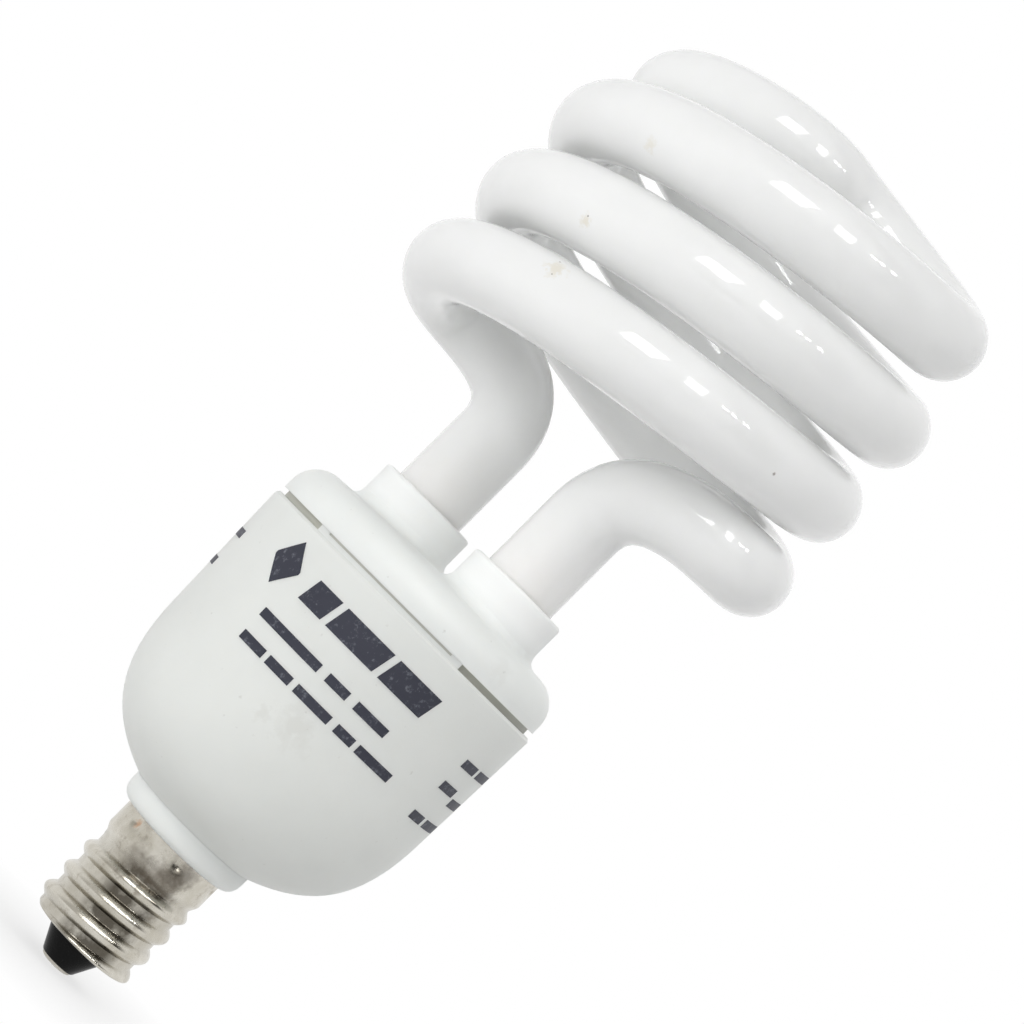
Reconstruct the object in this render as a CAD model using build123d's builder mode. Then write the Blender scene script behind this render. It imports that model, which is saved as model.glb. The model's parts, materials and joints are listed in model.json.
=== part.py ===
from build123d import *
import os
from math import atan2, cos, degrees, hypot, radians, sin

# Compact spiral lamp with a candelabra screw cap: a double spiral of glass tube
# on a two part plastic housing that holds its driver board.
# The lamp stands on its centre contact, +Z points to the top of the spiral,
# and the origin is the outer face of that contact. Sizes are in millimetres.

# Screw cap, candelabra size with a 2.54 thread
thread_pitch = 2.54
thread_crest_radius = 5.85
thread_root_radius = 5.2
thread_runout = 0.9
ridge_share = 0.76
ridge_flank_share = 0.6
ridge_sink = 0.04
ridge_foot_lean = 0.2
shell_wall = 0.25
shell_mouth_z = 2.6
shell_mouth_radius = 3.3
shell_heel_radius = 4.9
shell_heel_height = 0.9
heel_rise = 0.3
skirt_radius = 5.66
skirt_length = 3.3

# Centre contact and the insulator round it
contact_radius = 1.75
contact_flange = 0.35
rivet_radius = 1.1
rivet_bore_radius = 0.75
rivet_flare = 0.4
solder_depth = 1.6
insulator_nose_radius = 1.95
insulator_top_z = 5.2
insulator_clearance = 0.05

# Neck between the screw shell and the housing
neck_bottom_z = 15.45
neck_flange_height = 2.35
neck_flange_radius = 7.0
neck_bevel = 0.6
neck_spigot_length = 3.0
neck_spigot_wall = 1.0
neck_clearance = 0.06
neck_barb = 0.45

# Fusible resistor and the two supply wires
lead_tip_z = 0.9
resistor_radius = 1.2
resistor_length = 6.2
resistor_edge = 0.35
resistor_bottom_z = 7.6
lead_stub = 2.4
sleeve_clearance = 0.05
sleeve_wall = 0.3
sleeve_overlap = 0.6
wire_radius = 0.55
wire_bend = 3.0
live_x = -0.3
live_y = -1.6
neutral_x = 2.2
neutral_y = -1.3
neutral_entry = 3.0
neutral_end_z = 11.2

# Ballast housing, a thin bowl with a slight draft
housing_height = 27.0
housing_top_radius = 16.23
housing_wall = 1.5
draft_length = 14.0
draft_per_mm = 0.0333
bowl_drop_handle = 7.68
bowl_floor_handle = 5.92
bowl_floor_angle = 21.0
rim_chamfer = 0.28
neck_hole_radius = 5.6
board_rib_count = 4
board_rib_sink = 0.6
board_rib_width = 1.2
board_rib_depth = 0.7
board_rib_length = 7.0
board_rib_start = 30.0

# Seam between housing and cover
seam_gap = 0.6
seam_step_inset = 0.85
rim_segment_rise = 0.4
rim_segment_angle = 57.0
rim_segment_centre = -98.6
rim_land_angle = 4.8
rim_segment_clearance = 0.08

# Tube cover, a shallow domed cap with two collars
cover_skirt_inset = 0.28
cover_height = 4.45
cover_shoulder_radius = 3.1
cover_dome_rise = 0.45
cover_wall = 1.5
cover_spigot_length = 2.3
cover_spigot_wall = 1.2
cover_clearance = 0.12
cover_stop_count = 3
cover_stop_angle = 22.0
cover_stop_start = 90.0
snap_ridge = 0.3
snap_drop = 1.2
snap_relief = 0.12
collar_wall = 1.0
collar_height = 3.9
collar_flare = 1.1
collar_edge = 0.35

# Spiral tube, one glass tube bent into a double spiral
tube_radius = 3.87
leg_x = 5.68
leg_y = -5.76
leg_top_z = 61.9
spiral_start_z = 70.0
spiral_start_radius = 19.8
spiral_end_radius = 18.9
spiral_pitch = 18.42
spiral_angle = 503.0
leg_bend_handle = 9.65
spiral_lead_handle = 17.0
apex_z = 100.5
apex_turn = 79.0
apex_spiral_handle = 11.6
apex_handle = 7.9
press_length = 2.4
press_width = 6.4
press_thickness = 1.8
press_corner = 0.85
cement_gap = 0.4
cement_recess = 0.35

# Driver board and its parts, placed on a grid of its own
board_clearance = 0.437
board_grid = 1.0
board_thickness = 1.0
board_drop = 3.3
lead_radius = 0.3
fine_lead_radius = 0.2
lead_clearance = 0.12
solder_radius = 0.6
solder_height = 0.55
standoff = 0.3

# Choke on the board: two E cores and a wound bobbin
choke_x = -4.0
choke_y = 5.2
core_width = 13.2
core_half_height = 6.0
core_depth = 6.0
core_back = 1.8
core_side = 1.5
core_leg = 2.8
core_fit = 0.1
bobbin_wall = 0.6
flange_width = 9.7
flange_depth = 9.8
flange_thickness = 0.8
rail_offset = 3.9
rail_thickness = 1.4
choke_pin_step = 3.5
winding_margin = 0.35
winding_corner = 1.5

# Can capacitors
can_radius = 4.0
can_length = 11.5
can_edge = 0.4
can_pitch = 3.5
can_groove_drop = 1.8
can_groove_depth = 0.2
can_groove_width = 0.7
can_1_x = -5.0
can_1_y = -4.6
can_2_x = 4.4
can_2_y = -6.6

# Film capacitors
film_corner = 0.7
resonant_x = 6.1
resonant_y = 2.2
resonant_turn = 90.0
resonant_length = 7.6
resonant_width = 4.0
resonant_height = 7.0
resonant_pitch = 5.0
coupling_x = -10.25
coupling_y = -6.04
coupling_turn = 120.5
coupling_length = 5.5
coupling_width = 2.4
coupling_height = 6.0
coupling_pitch = 3.6

# Transistors: place and turn
transistor_places = [(-11.8, -0.6, 90), (4.2, 9.9, 0)]
case_radius = 2.3
case_flat = 1.4
case_height = 4.6
case_pitch = 1.27

# Ring core of the drive transformer
ring_x = 10.7
ring_y = -0.2
ring_radius = 3.6
ring_bore_radius = 1.9
ring_width = 2.4
band_thickness = 0.4
band_width = 1.8
band_spacing = 60.0

# Thermistor and line choke
thermistor_x = 9.6
thermistor_y = 7.1
thermistor_turn = 126.9
thermistor_radius = 2.25
thermistor_thickness = 1.8
thermistor_pitch = 2.5
drum_x = -2.0
drum_y = -11.0
drum_radius = 2.6
drum_waist_radius = 1.4
drum_height = 7.0
drum_flange = 0.9
drum_pitch = 2.5
drum_winding_margin = 0.3

# Wrap pins and the tube's leads
pin_circle = 11.8
pin_spread = 14.0
pin_width = 0.8
pin_height = 3.2
pin_fit = 0.05
pin_collar_radius = 0.9
pin_collar_height = 0.3
cathode_radius = 0.22
lead_exit = 2.0
wrap_radius = 0.6
wrap_drop = 0.6
wrap_height = 0.9

# Flat parts on the board's upper face: place and turn
diode_length = 4.4
diode_width = 2.6
diode_height = 2.0
diode_edge = 0.3
diode_places = [(-0.4, -5.0, 90), (-4.8, -8.6, 0), (0.4, -8.7, 0), (-8.9, -3.2, 90)]
chip_length = 3.2
chip_width = 1.6
chip_height = 0.55
chip_places = [(-2.4, 11.6, 0), (1.4, 11.9, 0), (2.2, 5.2, 0), (2.2, 2.4, 0)]
snubber_x = 2.2
snubber_y = 7.6
snubber_height = 0.9
diac_x = -9.6
diac_y = 3.2
diac_radius = 0.75
diac_length = 3.4

# Heights and radii that follow from the sizes above
seam_step_radius = housing_top_radius - seam_step_inset
cover_skirt_radius = housing_top_radius - cover_skirt_inset
neck_top_z = neck_bottom_z + neck_flange_height
housing_bottom_z = neck_top_z
housing_top_z = housing_bottom_z + housing_height
cover_bottom_z = housing_top_z + seam_gap
cover_top_z = cover_bottom_z + cover_height
collar_top_z = cover_top_z + collar_height
collar_bore_radius = tube_radius + cement_gap
collar_radius = collar_bore_radius + collar_wall
skirt_bore_radius = skirt_radius - shell_wall
shell_bore_radius = thread_root_radius - shell_wall
housing_mouth_radius = housing_top_radius - housing_wall
spigot_radius = housing_mouth_radius - cover_clearance
board_top_z = housing_top_z - board_drop
board_bottom_z = board_top_z - board_thickness
leg_radius = hypot(leg_x, leg_y)
leg_angle = degrees(atan2(leg_y, leg_x))
tube_foot_z = cover_bottom_z
press_bottom_z = tube_foot_z - press_length
spigot_inner_radius = spigot_radius - cover_spigot_wall
spigot_bottom_z = housing_top_z - cover_spigot_length
cover_roof_z = cover_top_z - cover_dome_rise - cover_wall
snap_z = housing_top_z - snap_drop
skirt_bottom_z = neck_bottom_z - skirt_length
shell_spigot_radius = skirt_bore_radius - neck_clearance
neck_bore_radius = shell_spigot_radius - neck_spigot_wall
neck_collar_radius = neck_hole_radius - neck_clearance
barb_z = housing_bottom_z + housing_wall + neck_clearance
resistor_top_z = resistor_bottom_z + resistor_length
hang_z = board_bottom_z - standoff
lead_hole_radius = lead_radius + lead_clearance
core_top_z = hang_z
core_middle_z = core_top_z - core_half_height
window_height = 2 * (core_half_height - core_back)
window_top_z = core_middle_z + window_height / 2
window_bottom_z = core_middle_z - window_height / 2
window_width = (core_width - core_leg) / 2 - core_side
window_centre = (core_leg + window_width) / 2
stand = (Align.CENTER, Align.CENTER, Align.MIN)
hang = (Align.CENTER, Align.CENTER, Align.MAX)
lead_spots = []
choke_pins = []
for pin_x in (choke_x - choke_pin_step, choke_x + choke_pin_step):
    for pin_y in (choke_y - rail_offset, choke_y + rail_offset):
        choke_pins.append((pin_x, pin_y, board_bottom_z))
os.makedirs("parts", exist_ok=True)


def housing_outline(inset):
    """Half section of the housing's wall line, drawn inset from the outer face."""
    top = (housing_top_radius - inset, housing_top_z)
    draft_end = (top[0] - draft_per_mm * draft_length, housing_top_z - draft_length)
    floor_edge = (neck_flange_radius, housing_bottom_z + inset)
    floor_angle = radians(bowl_floor_angle)
    shrink = 1 - inset / housing_top_radius
    drop = bowl_drop_handle * shrink
    run = bowl_floor_handle * shrink
    below_draft = (draft_end[0] - draft_per_mm * drop, draft_end[1] - drop)
    beside_floor = (floor_edge[0] + run * cos(floor_angle), floor_edge[1] + run * sin(floor_angle))
    return top, draft_end, below_draft, beside_floor, floor_edge


def ring_sector(inner, outer, middle, span):
    """Flat face between two radii, centred on a direction and as wide as its span."""
    with BuildSketch() as sector:
        with BuildLine():
            far = CenterArc((0, 0), outer, middle - span / 2, span)
            near = CenterArc((0, 0), inner, middle - span / 2, span)
            Line(far @ 0, near @ 0)
            Line(far @ 1, near @ 1)
        make_face()
    return sector.sketch


def wall_radius(z):
    """Inner radius of the housing's drafted wall at a height."""
    return housing_mouth_radius - draft_per_mm * (housing_top_z - z)


def board_spots(places):
    """Locations on the board's upper face from grid places and turns."""
    return [Location((x * board_grid, y * board_grid, board_top_z), (0, 0, turn)) for x, y, turn in places]


board_radius = wall_radius(board_bottom_z) - board_clearance

# Spiral tube: one strand from its foot to the apex, then its twin half a turn round
spiral_rise = spiral_pitch * spiral_angle / 360
spiral_cone = degrees(atan2(spiral_end_radius - spiral_start_radius, spiral_rise))
apex_side = radians(spiral_angle + apex_turn)
with BuildPart() as spiral_tube:
    with BuildLine() as strand:
        leg = Line((leg_x, leg_y, tube_foot_z), (leg_x, leg_y, leg_top_z))
        spiral_start = (0, 0, spiral_start_z)
        turns = Helix(spiral_pitch, spiral_rise, spiral_start_radius, spiral_start, cone_angle=spiral_cone)
        lead_in = turns @ 0 - (turns % 0) * spiral_lead_handle
        Bezier(leg @ 1, leg @ 1 + (0, 0, leg_bend_handle), lead_in, turns @ 0)
        apex = Vector(0, 0, apex_z)
        over_top = Vector(cos(apex_side), sin(apex_side), 0) * apex_handle
        Bezier(turns @ 1, turns @ 1 + (turns % 1) * apex_spiral_handle, apex + over_top, apex)
    with BuildSketch(Plane.XY.offset(tube_foot_z)):
        with Locations((leg_x, leg_y)):
            Circle(tube_radius)
    sweep(path=strand.wires()[0])
    with BuildSketch(Plane.XY.offset(tube_foot_z)):
        with Locations((leg_x, leg_y)):
            Circle(tube_radius)
    with BuildSketch(Plane.XY.offset(press_bottom_z)):
        with Locations(Location((leg_x, leg_y, 0), (0, 0, leg_angle + 90))):
            RectangleRounded(press_width, press_thickness, press_corner)
    loft()
    add(spiral_tube.part.rotate(Axis.Z, 180))
spiral_tube.part.label = "spiral_tube"
export_step(spiral_tube.part, "parts/spiral_tube.step")

# Tube cover: domed cap with a step that sits on the housing's rim
with BuildPart() as tube_cover:
    with BuildSketch(Plane.XZ):
        with BuildLine():
            crown = (0, cover_top_z)
            shoulder_in = (cover_skirt_radius - cover_shoulder_radius, cover_top_z - cover_dome_rise)
            skirt_top = (cover_skirt_radius, cover_top_z - cover_dome_rise - cover_shoulder_radius)
            ThreePointArc(crown, (shoulder_in[0] / 2, cover_top_z - cover_dome_rise / 4), shoulder_in)
            RadiusArc(shoulder_in, skirt_top, cover_shoulder_radius)
            Polyline(
                skirt_top,
                (cover_skirt_radius, cover_bottom_z),
                (seam_step_radius, cover_bottom_z),
                (seam_step_radius, housing_top_z),
                (spigot_radius, housing_top_z),
                (spigot_radius, spigot_bottom_z),
                (spigot_inner_radius, spigot_bottom_z),
                (spigot_inner_radius, cover_roof_z),
                (0, cover_roof_z),
                crown,
            )
        make_face()
    revolve(axis=Axis.Z)
    with BuildSketch(Plane.XZ):
        with BuildLine():
            Polyline(
                (spigot_radius - snap_ridge, snap_z - 2 * snap_ridge),
                (spigot_radius + snap_ridge, snap_z),
                (spigot_radius - snap_ridge, snap_z + 2 * snap_ridge),
                close=True,
            )
        make_face()
    revolve(axis=Axis.Z)
    for count in range(cover_stop_count):
        stop_turn = cover_stop_start + 360 * count / cover_stop_count
        stop = ring_sector(spigot_inner_radius, spigot_radius, stop_turn, cover_stop_angle)
        extrude(stop.moved(Pos(0, 0, board_top_z)), amount=spigot_bottom_z - board_top_z)
    with BuildSketch(Plane.XY.offset(cover_roof_z)):
        with PolarLocations(leg_radius, 2, start_angle=leg_angle):
            Circle(collar_radius)
    extrude(amount=collar_top_z - cover_roof_z)
    fillet(tube_cover.edges().filter_by(GeomType.CIRCLE).group_by(Axis.Z)[-1], collar_edge)
    fillet(tube_cover.edges().filter_by(GeomType.BSPLINE), collar_flare)
    with BuildSketch(Plane.XY.offset(cover_roof_z)):
        with PolarLocations(leg_radius, 2, start_angle=leg_angle):
            Circle(collar_bore_radius)
    extrude(amount=collar_top_z - cover_roof_z, mode=Mode.SUBTRACT)
tube_cover.part.label = "tube_cover"
export_step(tube_cover.part, "parts/tube_cover.step")

# Cement that holds the glass in each collar
with BuildPart() as tube_cement:
    with BuildSketch(Plane.XY.offset(cover_roof_z)):
        with PolarLocations(leg_radius, 2, start_angle=leg_angle):
            Circle(collar_bore_radius)
            Circle(tube_radius, mode=Mode.SUBTRACT)
    extrude(amount=collar_top_z - cement_recess - cover_roof_z)
tube_cement.part.label = "tube_cement"
export_step(tube_cement.part, "parts/tube_cement.step")

# Ballast housing: a bowl with ribs that carry the board and a raised rim segment on two sides
with BuildPart() as ballast_housing:
    with BuildSketch(Plane.XZ):
        with BuildLine():
            outer = housing_outline(0)
            inner = housing_outline(housing_wall)
            Line(outer[0], outer[1])
            Bezier(*outer[1:])
            Polyline(outer[4], (neck_hole_radius, outer[4][1]), (neck_hole_radius, inner[4][1]), inner[4])
            Bezier(*reversed(inner[1:]))
            Polyline(inner[1], inner[0], outer[0])
        make_face()
    revolve(axis=Axis.Z)
    rim_edges = ballast_housing.edges().filter_by(GeomType.CIRCLE).group_by(Axis.Z)[-1]
    chamfer(rim_edges.sort_by(SortBy.RADIUS)[-1], rim_chamfer)
    with BuildSketch(Plane.XZ):
        with BuildLine():
            groove_radius = wall_radius(snap_z)
            groove_depth = spigot_radius + snap_ridge + cover_clearance
            groove_mouth = groove_radius - cover_spigot_wall
            Polyline(
                (groove_mouth, snap_z - 2 * snap_ridge - snap_relief),
                (groove_depth, snap_z - snap_relief),
                (groove_depth, snap_z + snap_relief),
                (groove_mouth, snap_z + 2 * snap_ridge + snap_relief),
                close=True,
            )
        make_face()
    revolve(axis=Axis.Z, mode=Mode.SUBTRACT)
    with BuildSketch(Plane.XY.offset(board_bottom_z)):
        rib_middle = board_radius + (board_rib_sink - board_rib_depth) / 2
        with PolarLocations(rib_middle, board_rib_count, start_angle=board_rib_start):
            Rectangle(board_rib_depth + board_rib_sink, board_rib_width)
    extrude(amount=-board_rib_length)
    segment_inner = seam_step_radius + rim_segment_clearance
    segment_outer = housing_top_radius - rim_chamfer
    land_offset = (rim_segment_angle + rim_land_angle) / 2
    for middle in (rim_segment_centre, rim_segment_centre + 180):
        segment = ring_sector(segment_inner, segment_outer, middle, rim_segment_angle)
        extrude(segment.moved(Pos(0, 0, housing_top_z)), amount=rim_segment_rise)
        for land_turn in (middle - land_offset, middle + land_offset):
            land = ring_sector(segment_inner, segment_outer, land_turn, rim_land_angle)
            extrude(land.moved(Pos(0, 0, housing_top_z)), amount=seam_gap)
ballast_housing.part.label = "ballast_housing"
export_step(ballast_housing.part, "parts/ballast_housing.step")

# Neck: a flanged bush that snaps into the housing and carries the screw shell
with BuildPart() as base_neck:
    with BuildSketch(Plane.XZ):
        with BuildLine():
            Polyline(
                (neck_bore_radius, neck_bottom_z - neck_spigot_length),
                (shell_spigot_radius, neck_bottom_z - neck_spigot_length),
                (shell_spigot_radius, neck_bottom_z),
                (neck_flange_radius - neck_bevel, neck_bottom_z),
                (neck_flange_radius - neck_bevel / 4, neck_bottom_z + neck_bevel),
                (neck_flange_radius, neck_top_z),
                (neck_collar_radius, neck_top_z),
                (neck_collar_radius, barb_z),
                (neck_collar_radius + neck_barb, barb_z),
                (neck_collar_radius - neck_clearance, barb_z + 2 * neck_barb),
                (neck_bore_radius, barb_z + 2 * neck_barb),
                close=True,
            )
        make_face()
    revolve(axis=Axis.Z)
base_neck.part.label = "base_neck"
export_step(base_neck.part, "parts/base_neck.step")

# Screw shell: rolled knuckle thread below a plain skirt, with the heel turned in to its mouth
thread_bottom_z = shell_mouth_z + shell_heel_height
thread_top_z = skirt_bottom_z - thread_pitch / 4
thread_mean_radius = (thread_crest_radius + thread_root_radius) / 2
ridge_half = thread_pitch * ridge_share / 2
flank_half = ridge_half * ridge_flank_share
with BuildPart() as screw_shell:
    with BuildLine() as thread_route:
        Helix(thread_pitch, thread_top_z - thread_bottom_z, thread_root_radius, (0, 0, thread_bottom_z))
    with BuildSketch(Plane.XZ):
        with BuildLine():
            ridge_low = (thread_root_radius - ridge_sink, thread_bottom_z - ridge_half)
            ridge_top = (thread_crest_radius, thread_bottom_z)
            ridge_high = (thread_root_radius - ridge_sink, thread_bottom_z + ridge_half)
            flank_low = (thread_mean_radius, thread_bottom_z - flank_half)
            flank_high = (thread_mean_radius, thread_bottom_z + flank_half)
            foot_leans = [(ridge_foot_lean, 1), (-ridge_foot_lean, 1)]
            Spline(ridge_low, flank_low, ridge_top, flank_high, ridge_high, tangents=foot_leans)
            Polyline(
                ridge_high,
                (thread_root_radius - shell_wall / 2, thread_bottom_z + ridge_half),
                (thread_root_radius - shell_wall / 2, thread_bottom_z - ridge_half),
                ridge_low,
            )
        make_face()
    sweep(path=thread_route.wires()[0], is_frenet=True)
    with BuildSketch(Plane.XZ):
        with BuildLine():
            heel_start = (shell_heel_radius, shell_mouth_z + heel_rise)
            heel_end = (thread_crest_radius + thread_runout, thread_bottom_z + shell_heel_height)
            Line((0, shell_mouth_z), heel_start)
            Bezier(heel_start, (thread_crest_radius, shell_mouth_z + heel_rise), heel_end)
            Polyline(
                heel_end,
                (thread_crest_radius + thread_runout, skirt_bottom_z - thread_runout),
                (thread_root_radius, skirt_bottom_z + thread_runout),
                (0, skirt_bottom_z + thread_runout),
                (0, shell_mouth_z),
            )
        make_face()
    revolve(axis=Axis.Z, mode=Mode.INTERSECT)
    with BuildSketch(Plane.XZ):
        with BuildLine():
            Polyline(
                (shell_mouth_radius, shell_mouth_z),
                (shell_heel_radius, shell_mouth_z + heel_rise),
                (thread_root_radius, thread_bottom_z),
                (thread_root_radius, skirt_bottom_z - thread_runout),
                (skirt_radius, skirt_bottom_z),
                (skirt_radius, neck_bottom_z),
                (skirt_bore_radius, neck_bottom_z),
                (skirt_bore_radius, skirt_bottom_z),
                (shell_bore_radius, skirt_bottom_z - thread_runout),
                (shell_bore_radius, thread_bottom_z),
                (shell_heel_radius - shell_wall, shell_mouth_z + heel_rise + shell_wall),
                (shell_mouth_radius, shell_mouth_z + shell_wall),
                close=True,
            )
        make_face()
    revolve(axis=Axis.Z)
screw_shell.part.label = "screw_shell"
export_step(screw_shell.part, "parts/screw_shell.step")

# Insulator that fills the shell's heel and shows as a dark cone
with BuildPart() as base_insulator:
    with BuildSketch(Plane.XZ):
        with BuildLine():
            seat_radius = shell_mouth_radius - insulator_clearance
            seat_z = shell_mouth_z + shell_wall + insulator_clearance
            Polyline(
                (rivet_radius, contact_flange),
                (insulator_nose_radius, contact_flange),
                (seat_radius, shell_mouth_z),
                (seat_radius, seat_z),
                (shell_heel_radius - shell_wall, seat_z + heel_rise),
                (shell_bore_radius - insulator_clearance, thread_bottom_z + insulator_clearance),
                (shell_bore_radius - insulator_clearance, insulator_top_z),
                (rivet_radius, insulator_top_z),
                close=True,
            )
        make_face()
    revolve(axis=Axis.Z)
base_insulator.part.label = "base_insulator"
export_step(base_insulator.part, "parts/base_insulator.step")

# Centre contact, a hollow rivet closed over the insulator
with BuildPart() as centre_contact:
    with BuildSketch(Plane.XZ):
        with BuildLine():
            Polyline(
                (rivet_bore_radius, 0),
                (contact_radius, 0),
                (insulator_nose_radius - insulator_clearance, contact_flange),
                (rivet_radius, contact_flange),
                (rivet_radius, insulator_top_z),
                (rivet_radius + rivet_flare, insulator_top_z),
                (rivet_radius, insulator_top_z + rivet_flare),
                (rivet_bore_radius, insulator_top_z + rivet_flare),
                close=True,
            )
        make_face()
    revolve(axis=Axis.Z)
centre_contact.part.label = "centre_contact"
export_step(centre_contact.part, "parts/centre_contact.step")

# Solder that closes the rivet round the resistor's lead
with BuildPart() as contact_solder:
    with BuildSketch(Plane.XZ):
        with BuildLine():
            Polyline(
                (0, 0),
                (rivet_bore_radius, 0),
                (rivet_bore_radius, solder_depth),
                (lead_radius, solder_depth),
                (lead_radius, lead_tip_z),
                (0, lead_tip_z),
                close=True,
            )
        make_face()
    revolve(axis=Axis.Z)
contact_solder.part.label = "contact_solder"
export_step(contact_solder.part, "parts/contact_solder.step")

# Fusible resistor on the lamp's axis, in its sleeve
with BuildPart() as fusible_resistor:
    with Locations((0, 0, lead_tip_z)):
        Cylinder(lead_radius, resistor_top_z + lead_stub - lead_tip_z, align=stand)
    with Locations((0, 0, resistor_bottom_z)):
        Cylinder(resistor_radius, resistor_length, align=stand)
    body_edges = fusible_resistor.edges().filter_by(GeomType.CIRCLE).sort_by(SortBy.RADIUS)[-2:]
    chamfer(body_edges, resistor_edge)
fusible_resistor.part.label = "fusible_resistor"
export_step(fusible_resistor.part, "parts/fusible_resistor.step")

with BuildPart() as resistor_sleeve:
    with BuildSketch(Plane.XY.offset(resistor_bottom_z - sleeve_overlap)):
        Circle(resistor_radius + sleeve_clearance + sleeve_wall)
        Circle(resistor_radius + sleeve_clearance, mode=Mode.SUBTRACT)
    extrude(amount=resistor_length + lead_stub + 2 * sleeve_overlap)
resistor_sleeve.part.label = "resistor_sleeve"
export_step(resistor_sleeve.part, "parts/resistor_sleeve.step")

# Live wire from the resistor up to the board
with BuildPart() as live_wire:
    with BuildLine() as live_route:
        FilletPolyline(
            (0, 0, resistor_top_z + lead_stub),
            (0, 0, neck_top_z + wire_bend),
            (live_x, live_y, neck_top_z + 3 * wire_bend),
            (live_x, live_y, board_bottom_z),
            radius=2 * wire_bend,
        )
    with BuildSketch(Plane.XY.offset(resistor_top_z + lead_stub)):
        Circle(wire_radius)
    sweep(path=live_route.wires()[0])
    with Locations((live_x, live_y, board_bottom_z)):
        Cylinder(lead_radius, board_thickness, align=stand)
live_wire.part.label = "live_wire"
export_step(live_wire.part, "parts/live_wire.step")

# Neutral wire from the board down inside the neck to the shell's wall
with BuildPart() as neutral_wire:
    with BuildLine() as neutral_route:
        FilletPolyline(
            (neutral_x, neutral_y, board_bottom_z),
            (neutral_x, neutral_y, neck_top_z + 3 * wire_bend),
            (neutral_entry, 0, neck_top_z + wire_bend),
            (neutral_entry, 0, neutral_end_z + wire_bend / 2),
            radius=2 * wire_bend,
        )
    with BuildSketch(Plane.XY.offset(board_bottom_z)):
        with Locations((neutral_x, neutral_y)):
            Circle(wire_radius)
    sweep(path=neutral_route.wires()[0])
    with Locations((neutral_x, neutral_y, board_bottom_z)):
        Cylinder(lead_radius, board_thickness, align=stand)
    with BuildLine() as bare_end:
        FilletPolyline(
            (neutral_entry, 0, neutral_end_z + wire_bend / 2),
            (neutral_entry, 0, neutral_end_z),
            (shell_bore_radius - insulator_clearance / 2, 0, neutral_end_z),
            radius=2 * lead_radius,
        )
    with BuildSketch(Plane.XY.offset(neutral_end_z + wire_bend / 2)):
        with Locations((neutral_entry, 0)):
            Circle(lead_radius)
    sweep(path=bare_end.wires()[0])
neutral_wire.part.label = "neutral_wire"
export_step(neutral_wire.part, "parts/neutral_wire.step")

# Choke: two E cores that meet round a wound bobbin, hung under the board
rail_spots = [(choke_x, choke_y + side * rail_offset, window_top_z) for side in (-1, 1)]
with BuildPart() as choke_bobbin:
    with Locations((choke_x, choke_y, window_top_z)):
        Box(flange_width, flange_depth, flange_thickness, align=hang)
    with Locations((choke_x, choke_y, window_bottom_z)):
        Box(flange_width, flange_depth, flange_thickness, align=stand)
    with Locations((choke_x, choke_y, window_bottom_z)):
        Box(core_leg + 2 * bobbin_wall, core_depth + 2 * bobbin_wall, window_height, align=stand)
    with Locations(*rail_spots):
        Box(flange_width, rail_thickness, board_bottom_z - window_top_z, align=stand)
    with Locations((choke_x, choke_y, window_bottom_z)):
        leg_hole = (core_leg + 2 * core_fit, core_depth + 2 * core_fit, window_height)
        Box(*leg_hole, align=stand, mode=Mode.SUBTRACT)
    with Locations(*choke_pins):
        Cylinder(lead_radius, board_thickness, align=stand)
choke_bobbin.part.label = "choke_bobbin"
export_step(choke_bobbin.part, "parts/choke_bobbin.step")

with BuildPart() as choke_winding:
    with BuildSketch(Plane.XY.offset(window_bottom_z + flange_thickness)):
        with Locations((choke_x, choke_y)):
            winding_width = flange_width - 2 * winding_margin
            winding_depth = flange_depth - 2 * winding_margin
            RectangleRounded(winding_width, winding_depth, winding_corner)
            Rectangle(core_leg + 2 * bobbin_wall, core_depth + 2 * bobbin_wall, mode=Mode.SUBTRACT)
    extrude(amount=window_height - 2 * flange_thickness)
choke_winding.part.label = "choke_winding"
export_step(choke_winding.part, "parts/choke_winding.step")

with BuildPart() as choke_core_upper:
    with BuildSketch(Plane.XZ.offset(-choke_y)):
        with Locations((choke_x, core_middle_z + core_half_height / 2)):
            Rectangle(core_width, core_half_height)
        with Locations(*[(choke_x + side * window_centre, core_middle_z) for side in (-1, 1)]):
            Rectangle(window_width, window_height, mode=Mode.SUBTRACT)
    extrude(amount=core_depth / 2, both=True)
choke_core_upper.part.label = "choke_core_upper"
export_step(choke_core_upper.part, "parts/choke_core_upper.step")

with BuildPart() as choke_core_lower:
    add(choke_core_upper.part.mirror(Plane.XY.offset(core_middle_z)))
choke_core_lower.part.label = "choke_core_lower"
export_step(choke_core_lower.part, "parts/choke_core_lower.step")

# Two smoothing capacitors, cans with a rolled groove near the seal
groove_z = hang_z - can_groove_drop
for number, (can_x, can_y) in enumerate([(can_1_x, can_1_y), (can_2_x, can_2_y)], start=1):
    can_leads = [(can_x - can_pitch / 2, can_y, hang_z), (can_x + can_pitch / 2, can_y, hang_z)]
    with BuildPart() as smoothing_capacitor:
        with BuildSketch(Plane.XZ.offset(-can_y)):
            with BuildLine():
                Polyline(
                    (can_x, hang_z),
                    (can_x + can_radius, hang_z),
                    (can_x + can_radius, groove_z + can_groove_width / 2),
                    (can_x + can_radius - can_groove_depth, groove_z),
                    (can_x + can_radius, groove_z - can_groove_width / 2),
                    (can_x + can_radius, hang_z - can_length + can_edge),
                    (can_x + can_radius - can_edge, hang_z - can_length),
                    (can_x, hang_z - can_length),
                    close=True,
                )
            make_face()
        revolve(axis=Axis((can_x, can_y, 0), (0, 0, 1)))
        with Locations(*can_leads):
            Cylinder(lead_radius, board_top_z - hang_z, align=stand)
    smoothing_capacitor.part.label = f"smoothing_capacitor_{number}"
    export_step(smoothing_capacitor.part, f"parts/smoothing_capacitor_{number}.step")
    lead_spots += can_leads


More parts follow.
